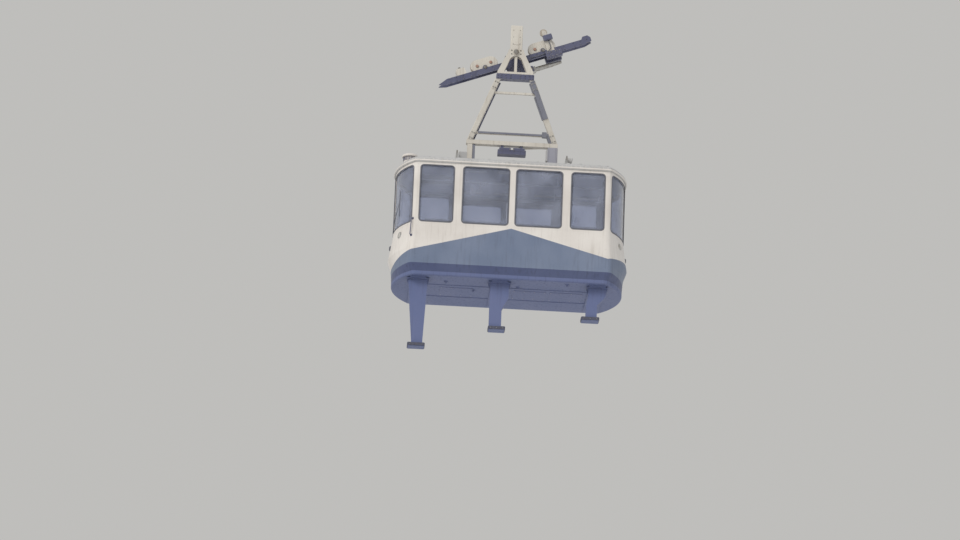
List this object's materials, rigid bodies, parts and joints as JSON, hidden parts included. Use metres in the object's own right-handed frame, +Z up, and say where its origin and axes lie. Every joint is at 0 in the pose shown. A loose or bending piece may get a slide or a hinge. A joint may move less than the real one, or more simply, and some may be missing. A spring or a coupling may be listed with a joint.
{
  "type": "aerial tramway car with carriage and hanger",
  "caption": "Cable car: wheeled carriage on an inclined track rope, tapered hanger, windowed cabin with bowed ends, sliding doors, roof hatch and guide legs below.",
  "frame": {"origin": "on the axis of the track rope at mid carriage, between the brake jaws", "axes": "+Z up, +X uphill along the car, -Y towards the side with the guide legs, +Y towards the doors"},
  "size_m": [4.4498, 2.085, 6.5848],
  "materials": {
    "white_paint": "satin enamel, faded",
    "cream_paint": "satin enamel, faded",
    "slate_blue_paint": "satin enamel",
    "navy_paint": "satin enamel",
    "indigo_paint": "matt enamel",
    "dark_paint": "greasy dark paint",
    "roof_paint": "matt enamel",
    "wheel_paint": "worn paint",
    "bright_steel": "machined, greased",
    "window_glass": "tinted, clear",
    "rail_steel": "brushed"
  },
  "bodies": {
    "carriage": {"carriage_side_plates": "dark_paint", "carriage_spacers": "bright_steel", "rocker_plates": "cream_paint", "carriage_pins": "bright_steel", "wheel_axles": "bright_steel", "carriage_yoke": "dark_paint", "brake_jaws": "dark_paint", "main_pivot_pin": "bright_steel", "haul_rope_socket": "bright_steel", "guide_roller_bracket": "cream_paint", "brake_housings": "dark_paint", "rope_lubricator": "cream_paint"},
    "wheel_1": {"wheel_1": "wheel_paint"},
    "wheel_2": {"wheel_2": "wheel_paint"},
    "wheel_3": {"wheel_3": "wheel_paint"},
    "wheel_4": {"wheel_4": "wheel_paint"},
    "guide_roller": {"guide_roller": "wheel_paint"},
    "cabin": {"hanger_head": "cream_paint", "hanger_head_stay": "cream_paint", "damper_housing": "cream_paint", "hanger_crosshead": "dark_paint", "hanger_legs": "cream_paint", "hanger_tie_bars": "cream_paint", "hanger_lower_beam": "cream_paint", "equipment_box": "dark_paint", "hanger_feet": "cream_paint", "roof_shell": "roof_paint", "hatch_frame": "roof_paint", "roof_hoops": "rail_steel", "roof_ventilator": "white_paint", "side_wall_near": "white_paint", "skirt_near": "slate_blue_paint", "side_wall_far": "white_paint", "skirt_far": "slate_blue_paint", "end_wall_downhill": "white_paint", "end_wall_uphill": "white_paint", "end_skirts": "slate_blue_paint", "side_glass_near": "window_glass", "side_glass_far": "window_glass", "end_glass": "window_glass", "bottom_rail": "navy_paint", "underframe": "indigo_paint", "door_track": "navy_paint", "door_sill": "bright_steel", "guide_legs": "indigo_paint", "handrails": "rail_steel", "control_cabinet": "cream_paint"},
    "door_left": {"door_left": "white_paint", "door_skirt_left": "slate_blue_paint", "door_glass_left": "window_glass"},
    "door_right": {"door_right": "white_paint", "door_skirt_right": "slate_blue_paint", "door_glass_right": "window_glass"},
    "hatch_lid": {"hatch_lid": "roof_paint"}
  },
  "joints": [
    {"name": "wheel_1_spin", "type": "hinge", "parent": "carriage", "child": "wheel_1", "pos_m": [-0.71249, 0, -0.12173], "axis": [0, 1, 0], "continuous": true},
    {"name": "wheel_2_spin", "type": "hinge", "parent": "carriage", "child": "wheel_2", "pos_m": [-0.45959, 0, -0.02717], "axis": [0, 1, 0], "continuous": true},
    {"name": "wheel_3_spin", "type": "hinge", "parent": "carriage", "child": "wheel_3", "pos_m": [0.36468, 0, 0.28101], "axis": [0, 1, 0], "continuous": true},
    {"name": "wheel_4_spin", "type": "hinge", "parent": "carriage", "child": "wheel_4", "pos_m": [0.61758, 0, 0.37557], "axis": [0, 1, 0], "continuous": true},
    {"name": "guide_roller_spin", "type": "hinge", "parent": "carriage", "child": "guide_roller", "pos_m": [0.51559, -0.049, 0.61981], "axis": [0, 1, 0], "continuous": true},
    {"name": "hanger_swing", "type": "hinge", "parent": "carriage", "child": "cabin", "pos_m": [0, -0.28, 0.095], "axis": [0, 1, 0], "range_deg": [-25, 25]},
    {"name": "door_left_slide", "type": "slide", "parent": "cabin", "child": "door_left", "axis": [-1, 0, 0], "range_m": [0, 0.8]},
    {"name": "door_right_slide", "type": "slide", "parent": "cabin", "child": "door_right", "axis": [1, 0, 0], "range_m": [0, 0.8]},
    {"name": "hatch_hinge", "type": "hinge", "parent": "cabin", "child": "hatch_lid", "pos_m": [-1.675, 0, -2.118], "axis": [0, -1, 0], "range_deg": [0, 100]}
  ],
  "couplings": [
    {"joint": "door_right_slide", "follows": "door_left_slide", "ratio": 1}
  ]
}
